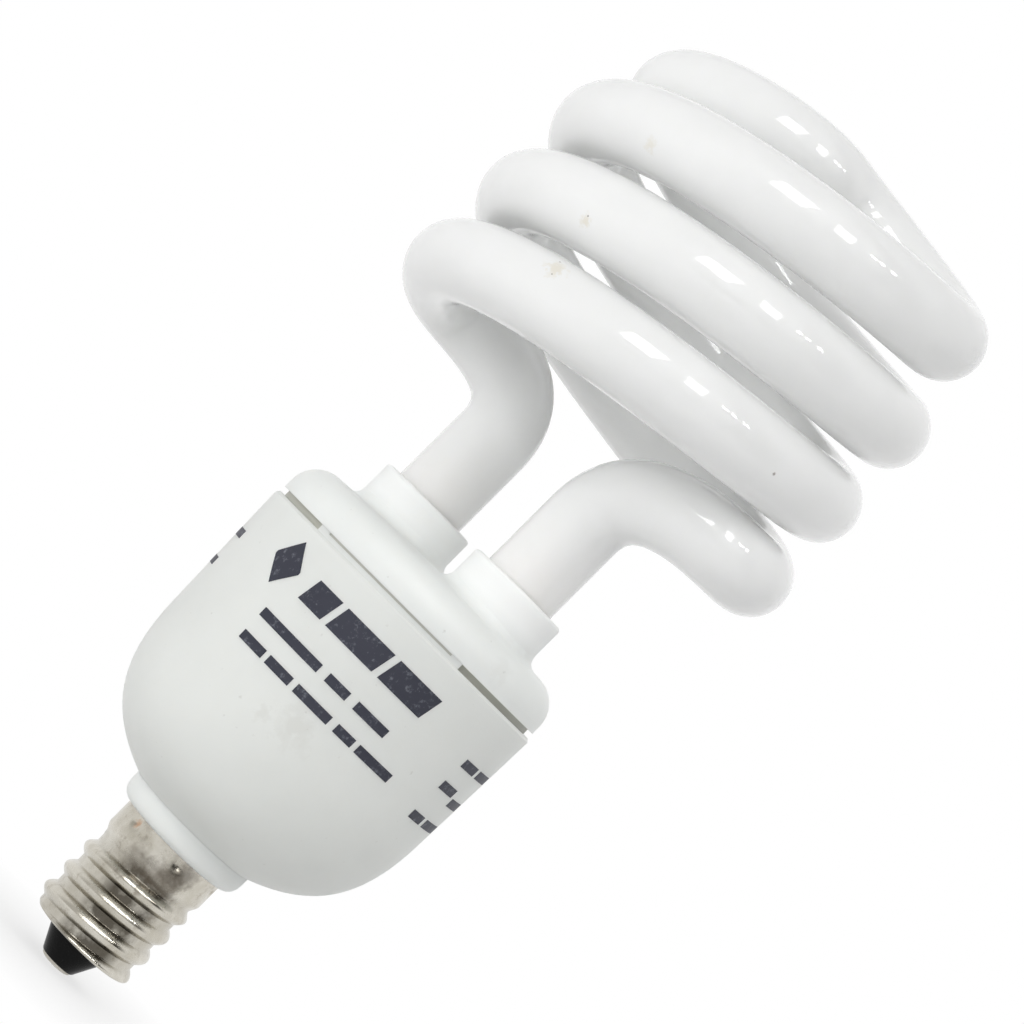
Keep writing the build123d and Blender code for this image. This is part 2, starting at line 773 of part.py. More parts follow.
def film_block(place, size, pitch):
    """Adds a rounded block and its two leads to the open part, and returns the leads' places."""
    leads = [tuple((place * Pos(side * pitch / 2, 0, 0)).position) for side in (-1, 1)]
    with Locations(place):
        block = Box(*size, align=hang)
    fillet(block.edges().filter_by(Axis.Z), film_corner)
    with Locations(*leads):
        Cylinder(lead_radius, board_top_z - hang_z, align=stand)
    return leads


# Film capacitors
resonant_place = Location((resonant_x, resonant_y, hang_z), (0, 0, resonant_turn))
with BuildPart() as resonant_capacitor:
    resonant_size = (resonant_length, resonant_width, resonant_height)
    resonant_leads = film_block(resonant_place, resonant_size, resonant_pitch)
resonant_capacitor.part.label = "resonant_capacitor"
export_step(resonant_capacitor.part, "parts/resonant_capacitor.step")
lead_spots += resonant_leads

coupling_place = Location((coupling_x, coupling_y, hang_z), (0, 0, coupling_turn))
with BuildPart() as coupling_capacitor:
    coupling_size = (coupling_length, coupling_width, coupling_height)
    coupling_leads = film_block(coupling_place, coupling_size, coupling_pitch)
coupling_capacitor.part.label = "coupling_capacitor"
export_step(coupling_capacitor.part, "parts/coupling_capacitor.step")
lead_spots += coupling_leads

# Switching transistors: half round cases with three leads
for number, (grid_x, grid_y, turn) in enumerate(transistor_places, start=1):
    facing = Location((grid_x * board_grid, grid_y * board_grid, hang_z), (0, 0, turn))
    case_leads = [(facing * Pos(step * case_pitch, 0, 0)).position for step in (-1, 0, 1)]
    with BuildPart() as transistor:
        with BuildSketch(Plane(facing)):
            Circle(case_radius)
            with Locations((0, -case_flat - case_radius)):
                Rectangle(2 * case_radius, 2 * case_radius, mode=Mode.SUBTRACT)
        extrude(amount=-case_height)
        with Locations(*case_leads):
            Cylinder(lead_radius, board_top_z - hang_z, align=stand)
    transistor.part.label = f"transistor_{number}"
    export_step(transistor.part, f"parts/transistor_{number}.step")
    lead_spots += [tuple(lead) for lead in case_leads]

# Drive transformer: a small ring core with three windings, stood on its leads
ring_centre_z = hang_z - ring_radius - band_thickness
with BuildPart() as drive_core:
    with BuildSketch(Plane.YZ.offset(ring_x)):
        with Locations((ring_y, ring_centre_z)):
            Circle(ring_radius)
            Circle(ring_bore_radius, mode=Mode.SUBTRACT)
    extrude(amount=ring_width / 2, both=True)
drive_core.part.label = "drive_core"
export_step(drive_core.part, "parts/drive_core.step")

ring_section = ring_radius - ring_bore_radius
ring_middle = (ring_radius + ring_bore_radius) / 2
with BuildPart() as drive_windings:
    for turn in (90, 90 - band_spacing, 90 + band_spacing):
        out = (cos(radians(turn)), sin(radians(turn)))
        middle = (ring_x, ring_y + ring_middle * out[0], ring_centre_z + ring_middle * out[1])
        with Locations(Location(middle, (turn - 90, 0, 0))):
            Box(ring_width + 2 * band_thickness, band_width, ring_section + 2 * band_thickness)
            Box(ring_width, band_width, ring_section, mode=Mode.SUBTRACT)
        lead_y = ring_y + ring_middle * out[0]
        for side in (-1, 1):
            lead_x = ring_x + side * (ring_width + band_thickness) / 2
            with Locations((lead_x, lead_y, middle[2])):
                Cylinder(fine_lead_radius, board_top_z - middle[2], align=stand)
            lead_spots.append((lead_x, lead_y, hang_z))
    with BuildSketch(Plane.YZ.offset(ring_x)):
        with Locations((ring_y, ring_centre_z)):
            Circle(ring_radius)
            Circle(ring_bore_radius, mode=Mode.SUBTRACT)
    extrude(amount=ring_width / 2, both=True, mode=Mode.SUBTRACT)
drive_windings.part.label = "drive_windings"
export_step(drive_windings.part, "parts/drive_windings.step")

# Thermistor: a disc on two leads
disc_place = Pos(thermistor_x, thermistor_y, hang_z - thermistor_radius) * Rot(0, 0, thermistor_turn)
disc_leads = [tuple((disc_place * Pos(side * thermistor_pitch / 2, 0, 0)).position) for side in (-1, 1)]
with BuildPart() as thermistor:
    with Locations(disc_place * Rot(90, 0, 0)):
        Cylinder(thermistor_radius, thermistor_thickness)
    with Locations(*disc_leads):
        Cylinder(lead_radius, board_top_z - hang_z + thermistor_radius, align=stand)
thermistor.part.label = "thermistor"
export_step(thermistor.part, "parts/thermistor.step")
lead_spots += disc_leads

# Line choke: a wound drum core
with BuildPart() as line_choke_core:
    with Locations((drum_x, drum_y, hang_z)):
        Cylinder(drum_radius, drum_flange, align=hang)
        Cylinder(drum_waist_radius, drum_height, align=hang)
    with Locations((drum_x, drum_y, hang_z - drum_height)):
        Cylinder(drum_radius, drum_flange, align=stand)
    drum_leads = [(drum_x - drum_pitch / 2, drum_y, hang_z), (drum_x + drum_pitch / 2, drum_y, hang_z)]
    with Locations(*drum_leads):
        Cylinder(lead_radius, board_top_z - hang_z, align=stand)
line_choke_core.part.label = "line_choke_core"
export_step(line_choke_core.part, "parts/line_choke_core.step")
lead_spots += drum_leads

with BuildPart() as line_choke_winding:
    with BuildSketch(Plane.XY.offset(hang_z - drum_flange)):
        with Locations((drum_x, drum_y)):
            Circle(drum_radius - drum_winding_margin)
            Circle(drum_waist_radius, mode=Mode.SUBTRACT)
    extrude(amount=2 * drum_flange - drum_height)
line_choke_winding.part.label = "line_choke_winding"
export_step(line_choke_winding.part, "parts/line_choke_winding.step")

# Wrap pins: two square posts beside each leg of the tube
pin_spots = []
for leg_turn in (leg_angle, leg_angle + 180):
    for side in (-1, 1):
        pin_turn = radians(leg_turn + side * pin_spread)
        pin_spots.append((pin_circle * cos(pin_turn), pin_circle * sin(pin_turn), board_top_z))
with BuildPart() as wrap_pins:
    with Locations(*pin_spots):
        Box(pin_width, pin_width, pin_height, align=stand)
        Box(pin_width, pin_width, board_thickness, align=hang)
        Cylinder(pin_collar_radius, pin_collar_height, align=stand)
wrap_pins.part.label = "wrap_pins"
export_step(wrap_pins.part, "parts/wrap_pins.step")

# Cathode leads from the pressed ends of the tube to the wrap pins
with BuildPart() as cathode_leads:
    for leg_turn, (pin_a, pin_b) in zip((leg_angle, leg_angle + 180), (pin_spots[:2], pin_spots[2:])):
        for side, pin in ((-1, pin_a), (1, pin_b)):
            start_x = leg_radius * cos(radians(leg_turn)) - side * lead_exit * sin(radians(leg_turn))
            start_y = leg_radius * sin(radians(leg_turn)) + side * lead_exit * cos(radians(leg_turn))
            away = Vector(start_x - pin[0], start_y - pin[1]).normalized() * (wrap_radius + cathode_radius)
            wrap_z = press_bottom_z - wrap_drop
            with BuildLine() as lead_route:
                FilletPolyline(
                    (start_x, start_y, press_bottom_z),
                    (start_x, start_y, wrap_z),
                    (pin[0] + away.X, pin[1] + away.Y, wrap_z),
                    radius=2 * cathode_radius,
                )
            with BuildSketch(Plane.XY.offset(press_bottom_z)):
                with Locations((start_x, start_y)):
                    Circle(cathode_radius)
            sweep(path=lead_route.wires()[0])
            with BuildSketch(Plane.XY.offset(wrap_z - wrap_height / 2)):
                with Locations((pin[0], pin[1])):
                    Circle(wrap_radius + 2 * cathode_radius)
                    Circle(wrap_radius, mode=Mode.SUBTRACT)
            extrude(amount=wrap_height)
cathode_leads.part.label = "cathode_leads"
export_step(cathode_leads.part, "parts/cathode_leads.step")

# Parts soldered flat on the board's upper face
with BuildPart() as rectifier_diodes:
    with Locations(*board_spots(diode_places)):
        Box(diode_length, diode_width, diode_height, align=stand)
    chamfer(rectifier_diodes.edges().filter_by(Axis.Z), diode_edge)
rectifier_diodes.part.label = "rectifier_diodes"
export_step(rectifier_diodes.part, "parts/rectifier_diodes.step")

with BuildPart() as chip_resistors:
    with Locations(*board_spots(chip_places)):
        Box(chip_length, chip_width, chip_height, align=stand)
chip_resistors.part.label = "chip_resistors"
export_step(chip_resistors.part, "parts/chip_resistors.step")

with BuildPart() as snubber_capacitor:
    with Locations((snubber_x, snubber_y, board_top_z)):
        Box(chip_length, chip_width, snubber_height, align=stand)
snubber_capacitor.part.label = "snubber_capacitor"
export_step(snubber_capacitor.part, "parts/snubber_capacitor.step")

with BuildPart() as diac:
    with Locations(Location((diac_x, diac_y, board_top_z + diac_radius), (90, 0, 0))):
        Cylinder(diac_radius, diac_length)
diac.part.label = "diac"
export_step(diac.part, "parts/diac.step")

# Driver board with a hole for each lead, wire and pin
lead_spots += choke_pins + [(live_x, live_y, 0), (neutral_x, neutral_y, 0)]
flat_spots = [(spot[0], spot[1]) for spot in lead_spots]
with BuildPart() as ballast_board:
    with BuildSketch(Plane.XY.offset(board_bottom_z)):
        Circle(board_radius)
        with Locations(*flat_spots):
            Circle(lead_hole_radius, mode=Mode.SUBTRACT)
        with Locations(*[(pin[0], pin[1]) for pin in pin_spots]):
            Rectangle(pin_width + 2 * pin_fit, pin_width + 2 * pin_fit, mode=Mode.SUBTRACT)
    extrude(amount=board_thickness)
ballast_board.part.label = "ballast_board"
export_step(ballast_board.part, "parts/ballast_board.step")

# Solder on the upper face, one cone over each lead
with BuildPart() as solder_joints:
    with Locations(*[(x, y, board_top_z) for x, y in flat_spots]):
        Cone(solder_radius, lead_radius, solder_height, align=stand)
solder_joints.part.label = "solder_joints"
export_step(solder_joints.part, "parts/solder_joints.step")
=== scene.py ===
import json
from math import cos, exp, pi, radians, sin

import bpy
from mathutils import Matrix, Vector
from mathutils.bvhtree import BVHTree


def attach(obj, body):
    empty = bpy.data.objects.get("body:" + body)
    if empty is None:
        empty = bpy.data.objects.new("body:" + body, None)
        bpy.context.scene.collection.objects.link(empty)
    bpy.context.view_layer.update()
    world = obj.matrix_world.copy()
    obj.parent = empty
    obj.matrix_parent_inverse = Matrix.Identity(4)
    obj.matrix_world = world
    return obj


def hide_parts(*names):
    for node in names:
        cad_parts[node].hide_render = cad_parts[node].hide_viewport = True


# Compact spiral lamp with a candelabra screw cap, dressed for its portrait.
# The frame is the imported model's: the lamp's axis is Z, its centre contact is at
# the origin and the portrait camera looks along +Y. The lamp's sizes are in
# millimetres, and MM turns them to metres. The light boxes are in metres.

MM = 0.001
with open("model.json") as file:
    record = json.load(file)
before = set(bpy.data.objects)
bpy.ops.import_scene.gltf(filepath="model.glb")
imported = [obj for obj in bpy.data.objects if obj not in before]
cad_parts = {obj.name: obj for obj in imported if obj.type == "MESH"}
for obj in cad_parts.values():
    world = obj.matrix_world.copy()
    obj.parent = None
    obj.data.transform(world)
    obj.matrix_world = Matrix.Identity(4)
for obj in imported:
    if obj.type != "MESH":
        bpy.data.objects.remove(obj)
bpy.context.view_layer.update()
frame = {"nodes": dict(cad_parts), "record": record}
nodes = frame["nodes"]
record = frame["record"]
slot_of = {part["node"]: part["material_slot"] for part in record["subparts"]}

# Camera of the photograph
CAMERA_DISTANCE = 317.3
CAMERA_HEIGHT = 46.61
AIM_SIDE = 0.335
AIM_HEIGHT = 58.40
CAMERA_ROLL = 45.04
FOCAL_PIXELS = 3474.9
FRAME_PIXELS = 1024
SENSOR_MM = 36.0

# Spiral tube
TUBE_RADIUS = 3.87
TUBE_FOOT_Z = 45.4
LEG_X = 5.68
LEG_Y = -5.76
LEG_TOP_Z = 61.9
SPIRAL_START_Z = 70.0
SPIRAL_START_RADIUS = 19.8
SPIRAL_END_RADIUS = 18.9
SPIRAL_PITCH = 18.42
SPIRAL_ANGLE = 503.0
LEG_BEND_HANDLE = 9.65
SPIRAL_LEAD_HANDLE = 17.0
APEX_Z = 100.5
APEX_TURN = 79.0
APEX_SPIRAL_HANDLE = 11.6
APEX_HANDLE = 7.9
COLLAR_TOP_Z = 53.75

# Screw shell
THREAD_PITCH = 2.54
THREAD_CREST_RADIUS = 5.85
THREAD_ROOT_RADIUS = 5.2
THREAD_START_Z = 3.5
THREAD_FADE_LOW_Z = 2.6
THREAD_FADE_HIGH_Z = 3.3
THREAD_END_Z = 11.5
THREAD_FADE_OUT = 0.7
RIDGE_HALF_WIDTH = 0.88
RIDGE_ROUNDNESS = 1.15
SKIRT_RADIUS = 5.66
SKIRT_BOTTOM_Z = 12.9
SKIRT_BLEND = 1.2
SHELL_TOP_Z = 15.45
SHELL_MOUTH_Z = 3.1
SHELL_MOUTH_RADIUS = 3.3
HEEL_RADIUS = 0.45
SHELL_WALL = 0.25
DIMPLE_COUNT = 6
DIMPLE_Z = 14.7
DIMPLE_RADIUS = 0.48
DIMPLE_DEPTH = 0.24
DIMPLE_START = -41.5

# Turned pieces redrawn from the photograph, as (radius, height) round a closed profile
NECK_PROFILE = ((5.4, 15.42), (5.72, 15.42), (6.1, 15.5), (6.45, 15.68), (6.75, 15.98), (6.93, 16.4),
                (7.0, 16.9), (7.0, 17.8), (5.4, 17.8))
INSULATOR_PROFILE = ((0.8, 0.36), (1.78, 0.36), (1.88, 0.46), (3.27, 3.14), (3.27, 3.4), (4.6, 3.7),
                     (4.6, 5.1), (0.8, 5.1))
CONTACT_PROFILE = ((0.8, 0.05), (1.0, 0.0), (1.35, 0.02), (1.6, 0.14), (1.7, 0.36), (0.8, 0.36))
CREASE_ANGLE = 35

# Housing wall that carries the print
HOUSING_TOP_Z = 44.8
HOUSING_TOP_RADIUS = 16.23
HOUSING_DRAFT = 0.0333
INK_LIFT = 0.02
INK_SINK = 0.04
BAR_STEP = 0.4

# Print, in millimetres round the wall from the front and in height
LOZENGE = (-11.5, 40.9, 1.9, 2.4)
LOZENGE_TIP = 0.06
BIG_LINE_Z = (39.4, 41.9)
BIG_LEAN = 0.2
BIG_BARS = ((-8.0, -5.0), (-4.3, 1.5), (2.2, 7.6))
FIRST_LINE_Z = (35.95, 36.85)
FIRST_BARS = ((-9.7, -1.9), (-0.9, 1.65), (2.65, 6.55))
SECOND_LINE_Z = (33.35, 34.25)
SECOND_BARS = ((-9.65, -6.5), (-5.95, -2.9), (-2.25, 2.0), (2.8, 5.0), (5.55, 10.1))
LEFT_BARS = ((-25.5, -20.6, 39.2, 40.1), (-25.5, -21.4, 35.8, 36.7))
RIGHT_BARS = ((15.4, 18.3, 38.9, 39.8), (19.0, 23.4, 38.9, 39.8), (15.4, 18.5, 36.2, 37.1),
              (19.2, 23.4, 35.4, 36.3), (15.4, 17.9, 32.5, 33.4), (18.6, 23.4, 32.5, 33.4))

# Lip of the cover that fills the thin slit over the rim's two long segments
LIP_SPANS = ((-10.5, 5.7), (40.5, 56.7))
LIP_Z = (45.15, 45.42)
LIP_TOP = -0.36
LIP_UNDER_SIDE = -0.8

# Colours and their places
GLASS_TONES = ((0.84, 0.845, 0.84), (0.875, 0.88, 0.875))
FOOT_TINT = (0.84, 0.78, 0.73)
FOOT_TINT_Z = 62.0
GLASS_STAIN = (0.62, 0.52, 0.30)
GLASS_SPECK = (0.16, 0.12, 0.09)
HOUSING_TONES = ((0.75, 0.765, 0.74), (0.785, 0.80, 0.775))
COVER_TONES = ((0.825, 0.845, 0.825), (0.85, 0.87, 0.85))
PLASTIC_ROUGHNESS = 0.5
PLASTIC_SPECK = (0.30, 0.28, 0.24)
GREY_STAIN = (0.45, 0.43, 0.38)
# Painted light: the plastic lighter over the collars' height
COLLAR_PAINTED_LIGHT_Z = (49.6, 51.5)
COLLAR_PAINTED_LIGHT = (0.95, 0.965, 0.945)
# Painted shade inside the seam under the cover
SEAM_SHADE_FOOT = (40.0, 44.0)
SEAM_SHADE_HEAD = (45.44, 45.38)
SEAM_PAINTED_SHADE = (0.52, 0.52, 0.46)
NICKEL_TONES = ((0.50, 0.47, 0.40), (0.69, 0.665, 0.60))
TARNISH = (0.20, 0.16, 0.11)
# Painted shade in the shell's thread valleys, strongest round a point at the front, where it also stands for
# a dark reflection
VALLEY_PAINTED_SHADE = (0.07, 0.06, 0.045)
VALLEY_REACH = (5.35, 5.68)
VALLEY_TOP_Z = (11.9, 12.9)
PAINTED_SHADE_CENTRE = (0.9, -5.4, 0)
# Painted dark reflection on the front of the shell's skirt and the fillet under it
SKIRT_PAINTED_REFLECTION = (0.09, 0.07, 0.05)
COPPER_SPOT = (0.50, 0.27, 0.14)
INK_TONES = ((0.022, 0.024, 0.04), (0.16, 0.17, 0.20))
METAL_SLOTS = ("nickel", "solder", "copper")
PLAIN_ROUGHNESS = 0.4


def lerp(a, b, t):
    """Value between a and b."""
    return a + (b - a) * t


def smooth(low, high, value):
    """Smooth step from 0 at low to 1 at high."""
    t = min(1.0, max(0.0, (value - low) / (high - low)))
    return t * t * (3 - 2 * t)


def new_object(name, verts, faces, shade_smooth=True):
    """Mesh object in metres from millimetre points."""
    mesh = bpy.data.meshes.new(name)
    mesh.from_pydata([(x * MM, y * MM, z * MM) for x, y, z in verts], [], faces)
    mesh.validate()
    mesh.update()
    mesh.polygons.foreach_set("use_smooth", [shade_smooth] * len(mesh.polygons))
    piece = bpy.data.objects.new(name, mesh)
    bpy.context.scene.collection.objects.link(piece)
    return piece


# Camera, placed first because the marks on the glass are found through it
camera_data = bpy.data.cameras.new("portrait")
camera_data.sensor_width = SENSOR_MM
camera_data.lens = FOCAL_PIXELS / FRAME_PIXELS * SENSOR_MM
camera_data.clip_start = 0.01
camera = bpy.data.objects.new("portrait", camera_data)
bpy.context.scene.collection.objects.link(camera)
eye = Vector((0, -CAMERA_DISTANCE, CAMERA_HEIGHT)) * MM
aim = Vector((AIM_SIDE, 0, AIM_HEIGHT)) * MM
look = (aim - eye).to_track_quat("-Z", "Y").to_matrix().to_4x4()
camera_frame = Matrix.Translation(eye) @ look @ Matrix.Rotation(radians(CAMERA_ROLL), 4, "Z")
camera.matrix_world = camera_frame
bpy.context.scene.camera = camera
bpy.context.scene.view_settings.view_transform = "Standard"


def spot_on(piece, pixel):
    """Point in metres where the camera's ray through a pixel of the photograph meets a piece."""
    mesh = piece.data
    tree = BVHTree.FromPolygons([v.co for v in mesh.vertices], [p.vertices for p in mesh.polygons])
    across = (pixel[0] - FRAME_PIXELS / 2) / FOCAL_PIXELS
    down = (pixel[1] - FRAME_PIXELS / 2) / FOCAL_PIXELS
    ray = (camera_frame.to_3x3() @ Vector((across, -down, -1))).normalized()
    return tree.ray_cast(eye, ray)[0]


# Spiral tube
def bezier_points(p0, p1, p2, p3, count):
    """Points on a cubic curve, both ends included."""
    points = []
    for i in range(count + 1):
        t = i / count
        s = 1 - t
        points.append(p0 * s**3 + p1 * (3 * s * s * t) + p2 * (3 * s * t * t) + p3 * t**3)
    return points


def strand_route():
    """Centre line of one strand, from its foot inside the cover to the apex."""
    end_angle = radians(SPIRAL_ANGLE)
    widen = (SPIRAL_END_RADIUS - SPIRAL_START_RADIUS) / end_angle
    climb = SPIRAL_PITCH / (2 * pi)

    def on_spiral(angle):
        radius = SPIRAL_START_RADIUS + widen * angle
        return Vector((radius * cos(angle), radius * sin(angle), SPIRAL_START_Z + climb * angle))

    def spiral_heading(angle):
        radius = SPIRAL_START_RADIUS + widen * angle
        x = widen * cos(angle) - radius * sin(angle)
        y = widen * sin(angle) + radius * cos(angle)
        return Vector((x, y, climb)).normalized()

    leg_top = Vector((LEG_X, LEG_Y, LEG_TOP_Z))
    bend_out = leg_top + Vector((0, 0, LEG_BEND_HANDLE))
    lead = on_spiral(0) - spiral_heading(0) * SPIRAL_LEAD_HANDLE
    rise = on_spiral(end_angle) + spiral_heading(end_angle) * APEX_SPIRAL_HANDLE
    apex = Vector((0, 0, APEX_Z))
    apex_side = end_angle + radians(APEX_TURN)
    over_top = Vector((cos(apex_side), sin(apex_side), 0)) * APEX_HANDLE
    leg_steps, bend_steps, spiral_steps, apex_steps = 12, 60, 270, 70
    route = [Vector((LEG_X, LEG_Y, lerp(TUBE_FOOT_Z, LEG_TOP_Z, i / leg_steps))) for i in range(leg_steps)]
    route += bezier_points(leg_top, bend_out, lead, on_spiral(0), bend_steps)
    route += [on_spiral(end_angle * i / spiral_steps) for i in range(1, spiral_steps)]
    route += bezier_points(on_spiral(end_angle), rise, apex + over_top, apex, apex_steps)
    return route


def sweep_tube(name, route, radius, around):
    """Closed tube along a route, with rings that do not twist."""
    verts, faces = [], []
    across = (route[1] - route[0]).orthogonal().normalized()
    for i, point in enumerate(route):
        ahead = (route[min(i + 1, len(route) - 1)] - route[max(i - 1, 0)]).normalized()
        across = (across - ahead * across.dot(ahead)).normalized()
        up = ahead.cross(across)
        for k in range(around):
            turn = 2 * pi * k / around
            verts.append(tuple(point + (across * cos(turn) + up * sin(turn)) * radius))
    for i in range(len(route) - 1):
        for k in range(around):
            a = i * around + k
            b = i * around + (k + 1) % around
            faces.append((a, b, b + around, a + around))
    last = (len(route) - 1) * around
    faces.append(tuple(reversed(range(around))))
    faces.append(tuple(last + k for k in range(around)))
    return new_object(name, verts, faces)


strand = strand_route()
twin = [Vector((-p.x, -p.y, p.z)) for p in reversed(strand)]
glass = sweep_tube("glass_spiral", strand + twin[1:], TUBE_RADIUS, 60)
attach(glass, "root")
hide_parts("spiral_tube")


# Screw shell: pressed skin with a knuckle thread, staking dimples and a rounded heel
def shell_radius(angle, z):
    """Outer radius of the shell at a direction in radians and a height."""
    skirt = smooth(SKIRT_BOTTOM_Z - SKIRT_BLEND, SKIRT_BOTTOM_Z, z)
    radius = lerp(THREAD_ROOT_RADIUS, SKIRT_RADIUS, skirt)
    from_crest = (z - THREAD_START_Z - THREAD_PITCH * angle / (2 * pi)) % THREAD_PITCH
    from_crest = min(from_crest, THREAD_PITCH - from_crest) / RIDGE_HALF_WIDTH
    ridge = max(0.0, 1 - from_crest**2) ** RIDGE_ROUNDNESS
    start = smooth(THREAD_FADE_LOW_Z, THREAD_FADE_HIGH_Z, z)
    end = 1 - smooth(THREAD_END_Z - THREAD_FADE_OUT, THREAD_END_Z + THREAD_FADE_OUT, z)
    radius += (THREAD_CREST_RADIUS - THREAD_ROOT_RADIUS) * ridge * start * end
    for count in range(DIMPLE_COUNT):
        turn = radians(DIMPLE_START + 360 * count / DIMPLE_COUNT) - pi / 2
        apart = (angle - turn + pi) % (2 * pi) - pi
        distance = (apart * SKIRT_RADIUS) ** 2 + (z - DIMPLE_Z) ** 2
        radius -= DIMPLE_DEPTH * exp(-distance / DIMPLE_RADIUS**2)
    return radius


def shell_skin(name, around, rows):
    """Closed skin of the screw shell: outside, top edge, inside and mouth edge."""
    heel_z = SHELL_MOUTH_Z + HEEL_RADIUS
    root_inside = THREAD_ROOT_RADIUS - SHELL_WALL
    skirt_inside = SKIRT_RADIUS - SHELL_WALL
    floor_z = SHELL_MOUTH_Z + SHELL_WALL
    profile = []
    for i in range(5):
        radius = lerp(SHELL_MOUTH_RADIUS, THREAD_ROOT_RADIUS - HEEL_RADIUS, i / 4)
        profile.append(("ring", radius, SHELL_MOUTH_Z))
    for i in range(1, 9):
        turn = pi / 2 * i / 9
        profile.append(("heel", HEEL_RADIUS * sin(turn), heel_z - HEEL_RADIUS * cos(turn)))
    for i in range(rows + 1):
        profile.append(("wall", 0, lerp(heel_z, SHELL_TOP_Z, i / rows)))
    inside = ((skirt_inside, SHELL_TOP_Z), (skirt_inside, SKIRT_BOTTOM_Z),
              (root_inside, SKIRT_BOTTOM_Z - SKIRT_BLEND), (root_inside, heel_z),
              (THREAD_ROOT_RADIUS - HEEL_RADIUS, floor_z), (SHELL_MOUTH_RADIUS, floor_z))
    profile += [("ring", radius, z) for radius, z in inside]
    verts, faces = [], []
    for kind, radius, z in profile:
        for k in range(around):
            angle = 2 * pi * k / around
            here = radius
            if kind == "wall":
                here = shell_radius(angle, z)
            elif kind == "heel":
                here = shell_radius(angle, z) - HEEL_RADIUS + radius
            verts.append((here * cos(angle), here * sin(angle), z))
    count = len(profile)
    for i in range(count):
        for k in range(around):
            a, b = i * around + k, i * around + (k + 1) % around
            c, d = (i + 1) % count * around + (k + 1) % around, (i + 1) % count * around + k
            faces.append((a, b, c, d))
    return new_object(name, verts, faces)


cap = shell_skin("cap_skin", 300, 210)
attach(cap, "root")
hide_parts("screw_shell")


def turned_skin(name, profile, around):
    """Closed ring turned round the axis, shaded smooth between rings that lie close."""
    verts, faces = [], []
    for radius, z in profile:
        for k in range(around):
            angle = 2 * pi * k / around
            verts.append((radius * cos(angle), radius * sin(angle), z))
    for i in range(len(profile)):
        for k in range(around):
            j, m = (i + 1) % len(profile), (k + 1) % around
            faces.append((i * around + k, i * around + m, j * around + m, j * around + k))
    piece = new_object(name, verts, faces)
    piece.data.set_sharp_from_angle(angle=radians(CREASE_ANGLE))
    return piece


neck = turned_skin("neck_skin", NECK_PROFILE, 128)
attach(neck, "root")
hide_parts("base_neck")
insulator = turned_skin("insulator_skin", INSULATOR_PROFILE, 96)
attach(insulator, "root")
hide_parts("base_insulator")
contact = turned_skin("contact_skin", CONTACT_PROFILE, 96)
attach(contact, "root")
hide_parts("centre_contact")


# Print: fields of ink on the housing wall, placed by arc from the front and height
def wall_point(side, z, lift):
    """Point on the housing's wall, side in millimetres round it from the front."""
    radius = HOUSING_TOP_RADIUS - HOUSING_DRAFT * (HOUSING_TOP_Z - z)
    turn = side / HOUSING_TOP_RADIUS
    return ((radius + lift) * sin(turn), -(radius + lift) * cos(turn), z)


def wall_slab(rows, top=INK_LIFT, under_side=-INK_SINK):
    """Verts and faces of a thin closed slab over rows of (side, z) points."""
    across = len(rows[0])
    verts = [wall_point(side, z, top) for row in rows for side, z in row]
    verts += [wall_point(side, z, under_side) for row in rows for side, z in row]
    under = len(rows) * across
    faces = []
    for i in range(len(rows) - 1):
        for k in range(across - 1):
            a, d = i * across + k, (i + 1) * across + k
            faces.append((a, d, d + 1, a + 1))
            faces.append((a + 1 + under, d + 1 + under, d + under, a + under))
        a, d = i * across, (i + 1) * across
        faces.append((a + under, d + under, d, a))
        a, d = a + across - 1, d + across - 1
        faces.append((a, d, d + under, a + under))
    for k in range(across - 1):
        faces.append((k + under, k, k + 1, k + 1 + under))
        last = (len(rows) - 1) * across + k
        faces.append((last, last + under, last + 1 + under, last + 1))
    return verts, faces


def wall_bar(left, right, low, high, lean=0.0, top=INK_LIFT, under_side=-INK_SINK):
    """Bar whose ends lean by a share of its height."""
    columns = max(2, round((right - left) / BAR_STEP) + 1)
    rows = []
    for i in range(columns):
        side = lerp(left, right, i / (columns - 1))
        rows.append([(side + lean * (z - low), z) for z in (low, lerp(low, high, 0.5), high)])
    return wall_slab(rows, top, under_side)


def ink_lozenge(side, z, half_width, half_height):
    """Filled lozenge with blunt side points."""
    rows = []
    for i in range(13):
        across = lerp(-1, 1, i / 12)
        tall = half_height * lerp(1, LOZENGE_TIP, abs(across))
        rows.append([(side + across * half_width, z + share * tall) for share in (-1, 0, 1)])
    return wall_slab(rows)


def wall_piece(name, parts):
    """One object from the verts and faces of several slabs."""
    verts, faces = [], []
    for part_verts, part_faces in parts:
        start = len(verts)
        verts += part_verts
        faces += [tuple(v + start for v in face) for face in part_faces]
    piece = new_object(name, verts, faces, shade_smooth=False)
    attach(piece, "root")
    return piece


front_ink = [ink_lozenge(*LOZENGE)]
front_ink += [wall_bar(*bar, *BIG_LINE_Z, lean=BIG_LEAN) for bar in BIG_BARS]
front_ink += [wall_bar(*bar, *FIRST_LINE_Z) for bar in FIRST_BARS]
front_ink += [wall_bar(*bar, *SECOND_LINE_Z) for bar in SECOND_BARS]
side_ink = [wall_bar(*bar) for bar in LEFT_BARS + RIGHT_BARS]
prints = [wall_piece("front_print", front_ink), wall_piece("side_print", side_ink)]

lip_bars = [wall_bar(*span, *LIP_Z, top=LIP_TOP, under_side=LIP_UNDER_SIDE) for span in LIP_SPANS]
lip = wall_piece("seam_lip", lip_bars)


# Materials
def material(name):
    """Node material with its tree, shader and object coordinates."""
    finish = bpy.data.materials.new(name)
    finish.use_nodes = True
    tree = finish.node_tree
    shader = tree.nodes["Principled BSDF"]
    place = tree.nodes.new("ShaderNodeTexCoord").outputs["Object"]
    return finish, tree, shader, place


def noise(tree, place, scale, detail=3.0, rough=0.5):
    """Noise output in object space, scale per metre."""
    node = tree.nodes.new("ShaderNodeTexNoise")
    node.inputs["Scale"].default_value = scale
    node.inputs["Detail"].default_value = detail
    node.inputs["Roughness"].default_value = rough
    tree.links.new(place, node.inputs["Vector"])
    return node.outputs["Fac"]


